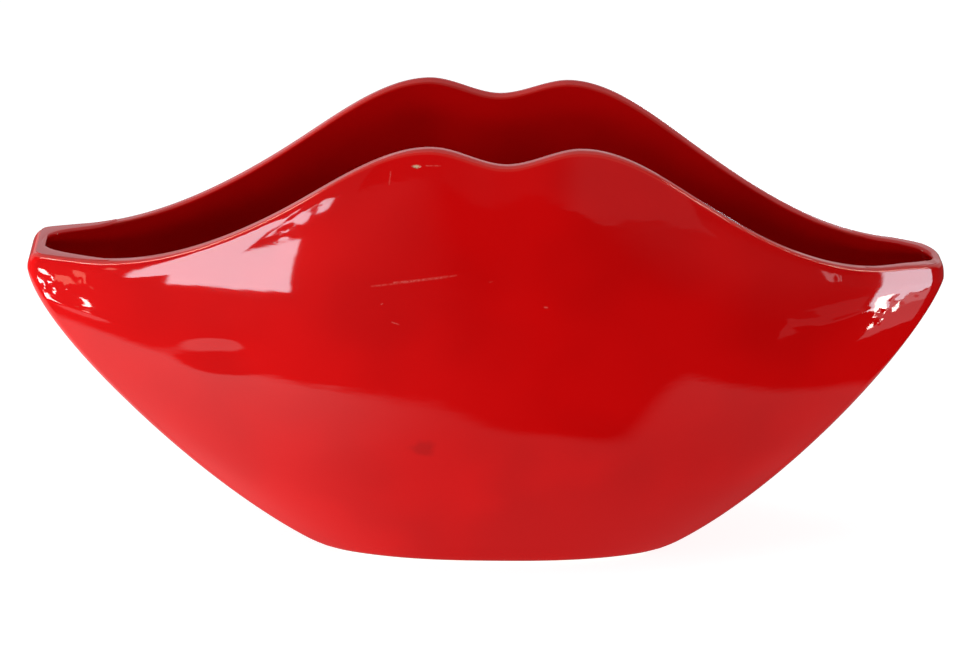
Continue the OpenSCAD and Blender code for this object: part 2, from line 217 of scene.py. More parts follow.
class VaseForm:
    """The outer face of the vase, and the faces that lie an inset inside it."""

    corner_angle = math.radians(70)
    smallest_corner = 0.8 * MM
    corner_slack = 0.3 * MM
    narrowest_blunt = 0.1 * MM
    brow_turn = 0.98  # how much of a quarter ellipse the brow runs through
    side_steps = 400

    def __init__(self, sizes):
        self.s = s = sizes
        self.half_w = s.overall_w / 2
        self.widest_z = s.tip_z - s.brow_h
        self.rim_knots = {FRONT: self.bow(s.front_bow_x), REAR: self.bow(s.rear_bow_x)}
        belly_f = s.belly_z / s.peak_z
        swell = (s.belly_depth - s.foot_depth) / 2 / belly_f
        draw = (s.belly_depth - s.rim_depth) / 2 / (1 - belly_f)
        self.centre_knots = [
            (0, s.foot_depth / 2, s.belly_swell * swell),
            (belly_f, s.belly_depth / 2, 0),
            (1, s.rim_depth / 2, -s.rim_draw * draw),
        ]
        t = np.linspace(0, 1, self.side_steps)
        self.side_z = bezier(t, 0, s.heel_rise, s.cheek_z, self.widest_z)
        self.side_x, self.side_stretch = {}, {}
        for end, inset in ((LEFT, s.left_cheek_inset), (RIGHT, s.right_cheek_inset)):
            foot = s.foot_x + end * s.foot_w / 2
            cheek, tip = end * (self.half_w - inset), end * self.half_w
            self.side_x[end] = bezier(t, foot, foot + end * s.heel_run, cheek, tip)
            across, up = np.gradient(self.side_x[end]), np.gradient(self.side_z)
            self.side_stretch[end] = np.hypot(across, up) / up

    def bow(self, middle):
        """Knots of the rim's height over x, for a bow with its middle there."""
        s = self.s
        return [
            (-self.half_w + s.tip_run, s.tip_z, 0),
            (middle - s.flank_x, s.flank_z, s.flank_slope),
            (middle - s.peak_gap / 2, s.peak_z, 0),
            (middle, s.dip_z, 0),
            (middle + s.peak_gap / 2, s.peak_z, 0),
            (middle + s.flank_x, s.flank_z, -s.flank_slope),
            (self.half_w - s.tip_run, s.tip_z, 0),
        ]

    def side_place(self, z, end):
        """Place of an end at height z of the tips, and the wall's width in x per thickness."""
        s = self.s
        brow = s.left_brow_inset if end == LEFT else s.right_brow_inset
        up = np.clip((z - self.widest_z) / s.brow_h, 0, 1)
        lean = brow * (1 - np.sqrt(1 - self.brow_turn * up**2))
        x = np.interp(z, self.side_z, self.side_x[end]) - end * lean
        return x, np.interp(z, self.side_z, self.side_stretch[end])

    def end_half_depth(self, f, end):
        s = self.s
        return blend(f, s.heel_depth, s.left_tip_depth if end == LEFT else s.right_tip_depth) / 2

    def corner_r(self, f, end, inset):
        s = self.s
        tip_r = s.left_tip_corner_r if end == LEFT else s.right_tip_corner_r
        r = blend(np.maximum(0, 2 * f - 1), s.heel_corner_r, tip_r)
        return np.maximum(self.smallest_corner, r - inset)

    def corner_reach(self, end):
        """How far a blunt end's corner reaches along the vase at the rim, inside the wall."""
        run_in = self.corner_r(1.0, end, self.s.wall_t) * (1 - math.cos(self.corner_angle))
        return run_in + self.corner_slack

    def plan(self, f, station, inset):
        """Plan place (x, half depth) of a station at fraction f of the height, an inset inside."""
        s = self.s
        end, part, amount = station
        left, left_stretch = self.side_place(f * s.tip_z, LEFT)
        right, right_stretch = self.side_place(f * s.tip_z, RIGHT)
        left = left + inset * left_stretch
        right = right - inset * right_stretch
        if part == LENS:
            share = (amount + 1) / 2
            run_in = 1 - math.cos(self.corner_angle)
            a = left + self.corner_r(f, LEFT, inset) * run_in
            b = right - self.corner_r(f, RIGHT, inset) * run_in
            end_y = blend(share, *(self.end_half_depth(f, side) for side in (LEFT, RIGHT))) - inset
            power = blend(f, s.foot_power, s.rim_power)
            middle_y = along(f, self.centre_knots) - inset
            return blend(share, a, b), end_y + (middle_y - end_y) * (1 - abs(amount) ** power)
        x_end = left if end == LEFT else right
        r = self.corner_r(f, end, inset)
        corner_y = self.end_half_depth(f, end) - inset - r * math.sin(self.corner_angle)
        if part == BLUNT:
            return x_end + 0 * f, amount * np.maximum(self.narrowest_blunt, corner_y)
        return x_end - end * r * (1 - math.cos(amount)), corner_y + r * math.sin(amount)

    def rim_height(self, station, depth_side):
        """Height of the rim over a station. The right tip sags a little."""
        x, _ = self.plan(np.array(1.0), station, 0.0)
        into_tip = np.clip((x - self.half_w + self.s.tip_run) / self.s.tip_run, 0, 1)
        return float(along(x, self.rim_knots[depth_side]) - self.s.right_tip_sag * into_tip**2)

    def points(self, station, f, inset, depth_side):
        """Points of a station at fractions f of its rim's height."""
        f = np.asarray(f, float)
        x, y = self.plan(f, station, np.asarray(inset, float))
        z = f * self.rim_height(station, depth_side) + PAD_TOP
        return np.stack([x + 0 * f, depth_side * y, z + 0 * x], axis=-1)


def stations(lens_steps, corner_steps=10, blunt_steps=4, crowding=0.62):
    """Stations from the left seam to the right one, crowded towards the two tips."""
    left = [(LEFT, BLUNT, i / blunt_steps) for i in range(blunt_steps)]
    left += [(LEFT, CORNER, VaseForm.corner_angle * i / corner_steps) for i in range(corner_steps)]
    lens = []
    for i in range(lens_steps + 1):
        u = 2 * i / lens_steps - 1
        lens.append((0, LENS, blend(crowding, u, math.sin(math.pi / 2 * u))))
    right = [(RIGHT, part, amount) for _, part, amount in reversed(left)]
    return left + lens + right


# ---- Meshes ----


def deselect_all():
    if bpy.context.object and bpy.context.object.mode != "OBJECT":
        bpy.ops.object.mode_set(mode="OBJECT")
    bpy.ops.object.select_all(action="DESELECT")


def bent_grid(name, columns):
    """A grid primitive whose columns of points are laid where they are given."""
    deselect_all()
    points = np.asarray(columns)
    across, up = points.shape[:2]
    bpy.ops.mesh.primitive_grid_add(x_subdivisions=across - 1, y_subdivisions=up - 1, size=1)
    piece = bpy.context.object
    piece.name = piece.data.name = name
    if len(piece.data.vertices) != across * up:
        raise RuntimeError(f"{name}: {len(piece.data.vertices)} points, not {across * up}")
    piece.data.vertices.foreach_set("co", points.transpose(1, 0, 2).ravel())
    piece.data.update()
    return piece


def close_up(piece, merge=1e-6):
    """Merges doubles, fills the open ends and points every face outwards."""
    bpy.ops.object.mode_set(mode="EDIT")
    bpy.ops.mesh.select_all(action="SELECT")
    bpy.ops.mesh.remove_doubles(threshold=merge)
    bpy.ops.mesh.select_all(action="SELECT")
    bpy.ops.mesh.fill_holes(sides=0)
    bpy.ops.mesh.select_all(action="SELECT")
    bpy.ops.mesh.normals_make_consistent(inside=False)
    bpy.ops.object.mode_set(mode="OBJECT")


def closed_piece(name, columns):
    piece = bent_grid(name, columns)
    close_up(piece)
    return piece


def finish_piece(piece, material, node, angle=40):
    """Smooths a piece, gives it its material and seats it on the frame in a node's place."""
    deselect_all()
    piece.select_set(True)
    bpy.context.view_layer.objects.active = piece
    bpy.ops.object.shade_smooth_by_angle(angle=math.radians(angle))
    piece.data.materials.clear()
    piece.data.materials.append(material)
    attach(piece, "root")
    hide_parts(node)


def graded(steps, power=1.0):
    """Fractions from 0 to 1 in steps that shorten towards 1."""
    return [1 - (1 - i / steps) ** power for i in range(steps + 1)]


def quarter_turn(steps):
    return [math.pi / 2 * i / steps for i in range(steps + 1)]


def wall_rows(form, top, lip_r):
    """Rows (fraction of the rim's height, inset) once round a wall's section: up the outer face,
    over the rim with its inner edge rounded to lip_r, down the inner face and under the foot."""
    s = form.s
    r, bevel, t = s.rim_round, s.foot_bevel, s.wall_t
    outer_crowding, inner_crowding, bevel_middle = 1.35, 1.2, 0.3
    low = bevel / top
    outer, inner = (
        [(1 - k * (1 - math.sin(a)) / top, k * (1 - math.cos(a))) for a in quarter_turn(ROUND_ROWS)]
        for k in (r, lip_r)
    )
    rows = [(0, (bevel + t) / 2), (0, bevel), (bevel_middle * low, bevel_middle * bevel)]
    rows += [(blend(u, low, 1 - r / top), 0) for u in graded(WALL_ROWS, outer_crowding)]
    rows += outer[1:]
    rows += [(1, blend(k, r, t - lip_r)) for k in (1 / 3, 2 / 3)]
    rows += [(f, t - inset) for f, inset in reversed(inner)]
    down = reversed(graded(WALL_ROWS * 2 // 3, inner_crowding)[:-1])
    rows += [(blend(u, low, 1 - lip_r / top), t) for u in down]
    return rows + [(0, t), (0, (bevel + t) / 2)]


# Lumps where the glaze has run and set thick at the tips, and soft dents pressed into the clay.
# Each is (x, z, half length, half height, turn in degrees, rise), lengths in millimetres.
FRONT_LUMPS = (
    (-163.0, 107.5, 1.2, 1.6, 0, 0.10),
    (-160.0, 110.0, 1.6, 1.2, 30, 0.12),
    (-158.5, 106.5, 1.3, 1.0, -20, 0.10),
    (-156.0, 108.5, 1.2, 1.4, 0, 0.08),
    (-152.0, 116.0, 3.0, 1.2, 10, 0.04),
    (-148.0, 112.0, 2.0, 1.6, 40, 0.06),
    (-149.0, 99.6, 11, 1.2, -12, 0.24),
    (-141.0, 118.6, 3.5, 1.0, -6, 0.05),
    (-101.0, 98.5, 15, 6.0, 7, 0.20),
    (-100.0, 89.0, 13, 5.5, 5, -0.42),
    (-75.0, 143.0, 3.5, 1.8, 35, 0.12),
    (-69.0, 148.0, 3.0, 1.6, 35, 0.12),
    (-63.0, 151.5, 3.5, 1.4, 35, 0.10),
    (-75.0, 138.0, 2.0, 0.9, 10, 0.05),
    (156.0, 112.0, 3.0, 1.6, -20, 0.05),
    (150.0, 110.0, 2.2, 1.4, 30, 0.06),
    (158.0, 109.0, 2.0, 1.3, -30, 0.08),
    (152.0, 106.5, 1.6, 1.0, 0, 0.06),
    (147.0, 103.5, 1.2, 1.2, 0, 0.12),
    (142.5, 102.5, 1.8, 0.9, 20, 0.12),
    (144.5, 98.4, 1.0, 0.8, 0, 0.14),
    (128.0, 119.0, 2.0, 3.0, 15, 0.12),
    (132.0, 102.0, 11, 1.1, 12, 0.12),
    (118.0, 102.0, 12, 2.6, -8, 0.10),
)


def lump_height(x, z, lumps):
    """Height of the relief that lumps make at places x, z of a face."""
    flatness = 1.25  # of a lump's top, where 1 is a plain bell
    height = 0 * x
    for at_x, at_z, half_length, half_height, turn, rise in lumps:
        c, s = math.cos(math.radians(turn)), math.sin(math.radians(turn))
        u = ((x / MM - at_x) * c + (z / MM - at_z) * s) / half_length
        v = ((z / MM - at_z) * c - (x / MM - at_x) * s) / half_height
        height = height + rise * MM * np.exp(-((u * u + v * v) ** flatness))
    return height


def outer_relief(form, grid, depth_side, inset, f):
    """Moves the outer face of a wall out by its lumps, and leaves rim, foot and inside alone."""
    rim_fade, tip_fade = 6 * MM, 4 * MM
    shortest = 1e-12
    across, up = np.gradient(grid, axis=0), np.gradient(grid, axis=1)
    normal = depth_side * np.cross(up, across)
    normal /= np.maximum(np.linalg.norm(normal, axis=-1, keepdims=True), shortest)
    height = lump_height(grid[..., 0], grid[..., 2] - PAD_TOP, FRONT_LUMPS)
    below_rim = np.clip((1 - f) * form.s.tip_z / rim_fade, 0, 1)
    room = np.clip((form.half_w - np.abs(grid[..., 0])) / tip_fade, 0, 1)
    amount = height * below_rim * np.sqrt(room) * (inset == 0) * (f > 0)
    return grid + normal * amount[..., None]


def foot_lift(form, x, z):
    """How far the two ends of the foot are rubbed up, at places x and heights z over the foot."""
    rise, reach, height = 0.8 * MM, 6 * MM, 5 * MM
    corner = form.s.foot_w / 2 - np.abs(x - form.s.foot_x)
    return rise * np.exp(-((corner / reach) ** 2)) * np.clip(1 - z / height, 0, 1) ** 2


def shell_piece(form, depth_side, name):
    """One half shell: its wall's section carried from the left seam to the right one."""
    s = form.s
    # Shares of the way from the middle to a tip: where the rear lip is full and where it ends,
    # and where a tip's thin wall starts and where it is full
    lip_full, lip_ends = 0.70, 0.84
    thin_starts, thin_full = 0.88, 0.98
    thin_low = 0.7  # share of the rim's height above which the wall thins
    columns, rows = [], []
    for station in stations(WALL_STATIONS):
        _, part, amount = station
        lip_r, near_tip = s.rim_round, 1
        if part == LENS:
            near_tip = np.clip((abs(amount) - thin_starts) / (thin_full - thin_starts), 0, 1)
        if part == LENS and depth_side == REAR:
            away = np.clip((lip_ends - abs(amount)) / (lip_ends - lip_full), 0, 1)
            lip_r = blend(away * away * (3 - 2 * away), s.rim_round, s.rear_lip_r)
        rows.append(wall_rows(form, form.rim_height(station, depth_side), lip_r))
        f, inset = np.array(rows[-1]).T
        thin = s.tip_thinning * near_tip * np.clip((f - thin_low) / (1 - thin_low), 0, 1)
        columns.append(form.points(station, f, inset * (1 - thin), depth_side))
    grid = np.array(columns)
    f, inset = np.moveaxis(np.array(rows), -1, 0)
    if depth_side == FRONT:
        grid = outer_relief(form, grid, depth_side, inset, f)
    grid[..., 2] += foot_lift(form, grid[..., 0], grid[..., 2] - PAD_TOP)
    piece = bent_grid(name, grid)
    on_edge = (f > 1 - s.rim_round / s.tip_z) & (np.minimum(inset, s.wall_t - inset) < s.rim_round)
    edge = piece.data.attributes.new("edge", "FLOAT", "POINT")
    edge.data.foreach_set("value", on_edge.T.ravel().astype(np.float32))
    close_up(piece)
    return piece


def round_the_plan():
    """Stations with their depth side, once round the vase from the left seam and back to it."""
    half = stations(FLOOR_STATIONS)
    front = [(station, FRONT) for station in half]
    rear = [(station, REAR) for station in reversed(half)]
    return front + rear


def coil_piece(form, name):
    """The coil of clay in the corner of floor and walls, smoothed hollow with a finger."""
    s = form.s
    bite = 0.1 * MM
    leg = s.fillet_leg
    section = [(s.floor_t - bite, s.wall_t - bite), (s.floor_t + leg, s.wall_t - bite)]
    section += [
        (s.floor_t + leg * (1 - math.sin(a)), s.wall_t + leg * (1 - math.cos(a)))
        for a in quarter_turn(ROUND_ROWS)
    ]
    section += [(s.floor_t - bite, s.wall_t + leg), (s.floor_t - bite, s.wall_t - bite)]
    z, inset = np.array(section).T
    return closed_piece(name, [
        form.points(station, z / form.rim_height(station, depth_side), inset, depth_side)
        for station, depth_side in round_the_plan()
    ])


def floor_piece(form, name):
    """The slab of the floor, a snug fit inside the walls."""
    s = form.s
    bite = 0.05 * MM
    rings = (0.0, 0.3, 0.6, 0.85, 0.96)
    columns = []
    for station, depth_side in round_the_plan():
        f = np.array([0, s.floor_t]) / form.rim_height(station, depth_side)
        low, high = form.points(station, f, s.wall_t - bite, depth_side)
        under, over = (
            [blend(k, np.array((s.foot_x, 0, edge[2])), edge) for k in rings]
            for edge in (low, high)
        )
        columns.append([*under, low, high, *reversed(over)])
    return closed_piece(name, columns)


def strip_section(form, end, station, depth_side, tip_share, reach):
    """Points once round a seam strip's section: up its back, which lies in the wall, round its edge
    at the rim and down its face. The face follows the nose that ends the hollow, and turns into the
    wall where the two meet. tip_share is how far round the blunt end the station lies."""
    s = form.s
    nose, power = (s.left_nose, 0.4) if end == LEFT else (s.right_nose, 0.5)
    heart = 1.4 * MM  # how far behind the outer face the strip's back lies
    skin = 0.1 * MM  # how far the strip's face sinks into the wall where it adds nothing
    tuck = 0.5 * MM  # how far its feathered edge is tucked into the wall
    proud = 0.02 * MM  # how far it stands over the rim
    coil_share = 0.8  # share of the coil's height where it starts
    foot_spread = 5.0  # how many times blunter the nose is at the foot
    sharpness = 6.0  # of the turn from the nose into the wall
    narrowest = 1e-9
    rows, crowding, back_skip, round_rows = 40, 1.2, 8, 6

    top = form.rim_height(station, depth_side)
    low = (s.floor_t + s.fillet_leg * coil_share) / top
    high = 1 + (proud - s.strip_round) / top
    f = np.array([blend(u, low, high) for u in graded(rows, crowding)])
    back = form.points(station, f, heart, depth_side)
    face = form.points(station, f, s.wall_t, depth_side)
    end_x = form.points((end, BLUNT, 0), f, s.wall_t - 2 * skin, depth_side)[:, 0]
    if station[1] == LENS:
        run = np.maximum(0, end * (end_x - face[:, 0]))
    else:
        run = form.corner_reach(end) * tip_share**2 + 0 * f
    y = np.sqrt(nose * blend(f, foot_spread, 1.0)) * run**power * MM ** (0.5 - power)
    if station[1] == LENS:
        feather = (1 - station[2] * end) / reach
        wall_y = np.abs(face[:, 1])
        bent = (y + narrowest) ** -sharpness + (wall_y + skin) ** -sharpness
        y = blend(feather**3, bent ** (-1 / sharpness), wall_y + tuck)
    inner = np.stack([end_x - end * run, depth_side * y, face[:, 2]], axis=-1)

    rise = np.array((0, 0, s.strip_round))
    inward = (inner[-1] - back[-1]) * (1, 1, 0)
    inward *= s.strip_round / np.linalg.norm(inward)
    rounding = [
        inner[-1] + rise * math.sin(t) - inward * (1 - math.cos(t))
        for t in quarter_turn(round_rows)[1:]
    ]
    back_top = back[-1] + rise
    section = [back[0], *back[back_skip::back_skip], back_top, (back_top + rounding[-1]) / 2]
    return section + rounding[::-1] + list(inner[::-1]) + [back[0]]


def strip_piece(form, end, name):
    """A strip of clay worked into the inside corners of a tip, from the floor's coil to the rim.
    It rounds off the end of the hollow and feathers out along both walls."""
    reach = 2 * form.s.strip_run / form.s.overall_w
    inwards = [
        (tip_end, part, amount) for tip_end, part, amount in stations(WALL_STATIONS)[::-end]
        if tip_end == end or (part == LENS and amount * end > 1 - reach)
    ]
    tip_steps = sum(station[0] == end for station in inwards)
    round_tip = [(i, FRONT) for i in reversed(range(len(inwards)))]
    round_tip += [(i, REAR) for i in range(1, len(inwards))]
    return closed_piece(name, [
        strip_section(form, end, inwards[i], depth_side, i / tip_steps, reach)
        for i, depth_side in round_tip
    ])


def pad_piece(node, name):
    """A die-cut felt disc with its cut edge rubbed round."""
    rubbed = 0.25 * MM
    low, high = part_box(node)
    deselect_all()
    bpy.ops.mesh.primitive_cylinder_add(
        vertices=72, radius=(high.x - low.x) / 2, depth=high.z - low.z, location=(low + high) / 2
    )
    piece = bpy.context.object
    piece.name = piece.data.name = name
    bpy.ops.object.transform_apply(location=True, rotation=True, scale=True)
    bpy.ops.object.mode_set(mode="EDIT")
    bpy.ops.mesh.select_all(action="SELECT")
    bpy.ops.mesh.bevel(offset=rubbed, segments=3, affect="EDGES")
    bpy.ops.object.mode_set(mode="OBJECT")
    return piece


# ---- Materials ----


MATHS, VECTOR, RAMP = "ShaderNodeMath", "ShaderNodeVectorMath", "ShaderNodeMapRange"
NOISE, MIX, BUMP = "ShaderNodeTexNoise", "ShaderNodeMix", "ShaderNodeBump"
SMOOTH = "SMOOTHSTEP"


def add_node(tree, kind, inputs=(), output=0, **settings):
    """Adds a node and gives one of its outputs. Inputs are named in a dict, or listed in the node's
    order (a ramp's: value, start, stop, what it gives there), and may be another node's output."""
    node = tree.nodes.new(kind)
    for key, value in settings.items():
        setattr(node, key, value)
    for key, value in inputs.items() if isinstance(inputs, dict) else enumerate(inputs):
        if isinstance(value, bpy.types.NodeSocket):
            tree.links.new(value, node.inputs[key])
        else:
            node.inputs[key].default_value = value
    return node.outputs[output] if node.outputs else None


def new_material(name):
    """An empty material, and a function that adds nodes to it."""
    material = bpy.data.materials.new(name)
    material.use_nodes = True
    material.node_tree.nodes.clear()
    return material, functools.partial(add_node, material.node_tree)


def rgba(colour_value):
    return [*colour_value[:3], 1.0]


def grain(millimetres):
    """Scale of a pattern whose grains are that wide."""
    return 1 / (millimetres * MM)


# Marks in the glaze of the front and a painted dark reflection, in millimetres. Scuffs and
# scratches are (start, end, half width, strength), spots (place, squeeze along x, ragged edge,
# outer radius, radius where full).
SCUFFS = (
    ((-44, -40.8, 122.6), (-14, -42.4, 128.0), 0.50, 0.30),
    ((-36, -41.2, 124.4), (-17, -42.2, 127.5), 0.70, 0.42),
    ((-25.5, -36.5, 167.8), (-20.5, -36.8, 167.9), 0.35, 0.40),
    ((-37.9, -36.5, 165.0), (-38.3, -37.2, 160.5), 0.40, 0.40),
    ((-40.5, -41.6, 116.0), (-40.0, -41.6, 116.3), 0.40, 0.50),
    ((-36.5, -42.0, 109.3), (-34.0, -42.2, 108.6), 0.40, 0.50),
    ((18.0, -43.4, 116.3), (18.9, -43.4, 116.3), 0.55, 0.50),
    ((-2.0, -42.6, 125.5), (-1.0, -42.6, 125.8), 0.35, 0.30),
)
CHIP = ((-28.9, -36.6, 167.4), 0.5, 0.9, 1.35, 0.6)
# A dark reflection painted low on the front as a darker patch of the glaze
PAINTED_DARK_REFLECTION = ((-24.5, -44.6, 59.0), 0.75, 4.0, 6.5, 3.5)
# Depth counts little in a mark's distance, so marks lie on the outer face however it swells
FLATTEN = (1, 0.15, 1)


def red_glaze(look):
    """Opaque red glaze, dipped and fired: a glassy coat that mirrors the room, with the slow ripple
    of a melt that has run. It is paler where it thins over an edge, and stops at the foot."""
    material, add = new_material("Red gloss glaze on earthenware")
    place = add("ShaderNodeTexCoord", output="Object")
    flat = add(VECTOR, (place, FLATTEN), operation="MULTIPLY")

    def from_point(point):
        middle = [c * k * MM for c, k in zip(point, FLATTEN)]
        return add(VECTOR, (flat, middle), operation="SUBTRACT")

    def stroke(start, end, half_width, strength):
        """Strength on a line between two points, and nothing beyond its half width."""
        run = Vector([(b - a) * k * MM for a, b, k in zip(start, end, FLATTEN)])
        away = from_point(start)
        share = add(VECTOR, (away, run / run.length_squared), "Value", operation="DOT_PRODUCT")
        share = add("ShaderNodeClamp", (share,))
        nearest = add(VECTOR, {0: run, "Scale": share}, operation="SCALE")
        gap = add(VECTOR, (away, nearest), "Value", operation="DISTANCE")
        solid = 0.2 * half_width
        gap = (gap, half_width * MM, solid * MM, 0.0, strength)
        return add(RAMP, gap, interpolation_type=SMOOTH)

    def spot(unevenness, point, squeeze, ragged, outer, inner):
        """1 on a round mark with a ragged edge, and 0 off it."""
        away = add(VECTOR, (from_point(point), (squeeze, 1, 1)), operation="MULTIPLY")
        away = add(VECTOR, (away,), "Value", operation="LENGTH")
        reach = add(MATHS, (unevenness, ragged * MM, away), operation="MULTIPLY_ADD")
        return add(RAMP, (reach, outer * MM, inner * MM), interpolation_type=SMOOTH)

    # Patterns, each with its grain in millimetres and its detail
    speck, blotch, grog, pool, ripple = (
        add(NOISE, {"Vector": place, "Scale": grain(size), "Detail": detail}, "Fac")
        for size, detail in ((0.9, 3.0), (5.0, 1.0), (1.4, 4.0), (60.0, 2.0), (14.0, 1.0))
    )
    drag = add(VECTOR, (place, (1, 1, 4)), operation="MULTIPLY")
    drag = add(NOISE, {"Vector": drag, "Scale": grain(9.0), "Detail": 1.0}, "Fac")

    # Marks: scuffs broken up by specks, a chip, and a painted dark reflection low on the front
    broken = add(RAMP, (speck, 0.3, 0.6, 0.3, 1.0), interpolation_type=SMOOTH)
    scuffed = 0.0
    for scuff in SCUFFS:
        mark = add(MATHS, (stroke(*scuff), broken), operation="MULTIPLY")
        scuffed = add(MATHS, (scuffed, mark), operation="MAXIMUM")
    chip = spot(speck, *CHIP)
    painted_dark_reflection = spot(blotch, *PAINTED_DARK_REFLECTION)

    # Bare clay: in the chip, and under the foot up to a ragged line just over the pads
    ragged, glaze_from, glaze_full = 0.2 * MM, PAD_TOP + 0.2 * MM, PAD_TOP + 0.35 * MM
    height = add("ShaderNodeSeparateXYZ", (place,), "Z")
    height = add(MATHS, (speck, ragged, height), operation="MULTIPLY_ADD")
    foot = add(RAMP, (height, glaze_full, glaze_from), interpolation_type=SMOOTH)
    bare = add(MATHS, (chip, foot), operation="MAXIMUM")
    clay = {"Factor": grog, "A": rgba(look.clay), "B": rgba(look.clay_shade)}
    clay = add(MIX, clay, "Result", data_type="RGBA")

    # Colour: deeper where the coat pooled, paler on the edges, darker in a painted dark reflection
    thin_share, dark_reflection_share = 0.45, 0.35
    pool = add(RAMP, (pool, 0.35, 0.65), interpolation_type=SMOOTH)
    edge = add("ShaderNodeAttribute", output="Fac", attribute_name="edge")
    thin = add(MATHS, (edge, thin_share), operation="MULTIPLY")
    # Painted dark reflection: the glaze colour is darkened on a patch low on the front
    dark_reflection_mix = add(MATHS, (painted_dark_reflection, dark_reflection_share), operation="MULTIPLY")
    body = rgba(look.red)
    for share, other in (
        (pool, rgba(look.deep_red)), (thin, rgba(look.thin_red)), (dark_reflection_mix, rgba(look.painted_dark_reflection)),
        (scuffed, rgba(look.scuff)), (bare, clay),
    ):
        body = add(MIX, {"Factor": share, "A": body, "B": other}, "Result", data_type="RGBA")

    # Relief: the ripple of the melt, the faint drag of its run, and what chip and scuffs took off
    ripple_height, drag_height, chip_depth, scuff_share = 0.05 * MM, 0.012 * MM, 0.3 * MM, 0.1
    relief = 0.0
    for pattern, rise in (
        (ripple, ripple_height), (drag, drag_height),
        (chip, -chip_depth), (scuffed, -chip_depth * scuff_share),
    ):
        relief = add(MATHS, (pattern, rise, relief), operation="MULTIPLY_ADD")
    normal = add(BUMP, {"Height": relief, "Strength": 1.0, "Distance": 1.0})

    glassy, dry = 0.04, 0.75
    worn = add(MATHS, (bare, scuffed), operation="MAXIMUM")
    rough = add(RAMP, (worn, 0.0, 1.0, glassy, dry), interpolation_type=SMOOTH)
    glaze = {"Base Color": body, "Roughness": rough, "IOR": 1.5, "Normal": normal}
    glaze = add("ShaderNodeBsdfPrincipled", glaze)
    add("ShaderNodeOutputMaterial", {"Surface": glaze})
    return material


def felt(look):
    """Pressed wool felt: dark, matt and fibrous, with its fibres drawn coarse enough to show."""
    material, add = new_material("Charcoal wool felt")
    place = add("ShaderNodeTexCoord", output="Object")
    fibre = add(NOISE, {"Vector": place, "Scale": grain(0.6), "Detail": 4.0}, "Fac")
    normal = add(BUMP, {"Height": fibre, "Distance": 0.2 * MM})
    cloth = add("ShaderNodeBsdfPrincipled", {
        "Base Color": rgba(look.felt), "Roughness": 0.95, "Sheen Weight": 0.3, "Normal": normal,
    })
    add("ShaderNodeOutputMaterial", {"Surface": cloth})
    return material


def emitter(name, strength, code="#FFFFFF"):
    """A surface that gives out an even light."""
    material, add = new_material(name)
    glow = add("ShaderNodeEmission", (rgba(hex_colour(code)), strength))
    add("ShaderNodeOutputMaterial", {"Surface": glow})
    return material


def shaded_wall():
    """A pale wall that falls into shade towards its left edge."""
    material, add = new_material("Pale wall in front")
    place = add("ShaderNodeTexCoord", output="Object")
    across = add("ShaderNodeSeparateXYZ", (place,), "X")
    shade_from, shade_to, darkest, palest = 60 * MM, 240 * MM, 0.05, 0.21
    strength = (across, shade_from, shade_to, darkest, palest)
    strength = add(RAMP, strength, interpolation_type=SMOOTH)
    glow = add("ShaderNodeEmission", {"Strength": strength})
    add("ShaderNodeOutputMaterial", {"Surface": glow})
    return material


# The white sheet under the vase as gloss sees it, in millimetres: its straight edges (the way each
# faces, where 0 is the front and 90 the right; how far out; softness), and a front edge that curls
# up for a stretch, which leaves a bay in it.
SHEET_EDGES = ((-49, 245, 9), (-22, 226, 9), (-90, 330, 20), (81, 211, 6), (180, 260, 40))
BAY_MIDDLE, BAY_REACH = 71, 110
BAY_Y, SHEET_FRONT_Y = -132, -206
SHEET_FRONT_SOFT = (-14, 18)


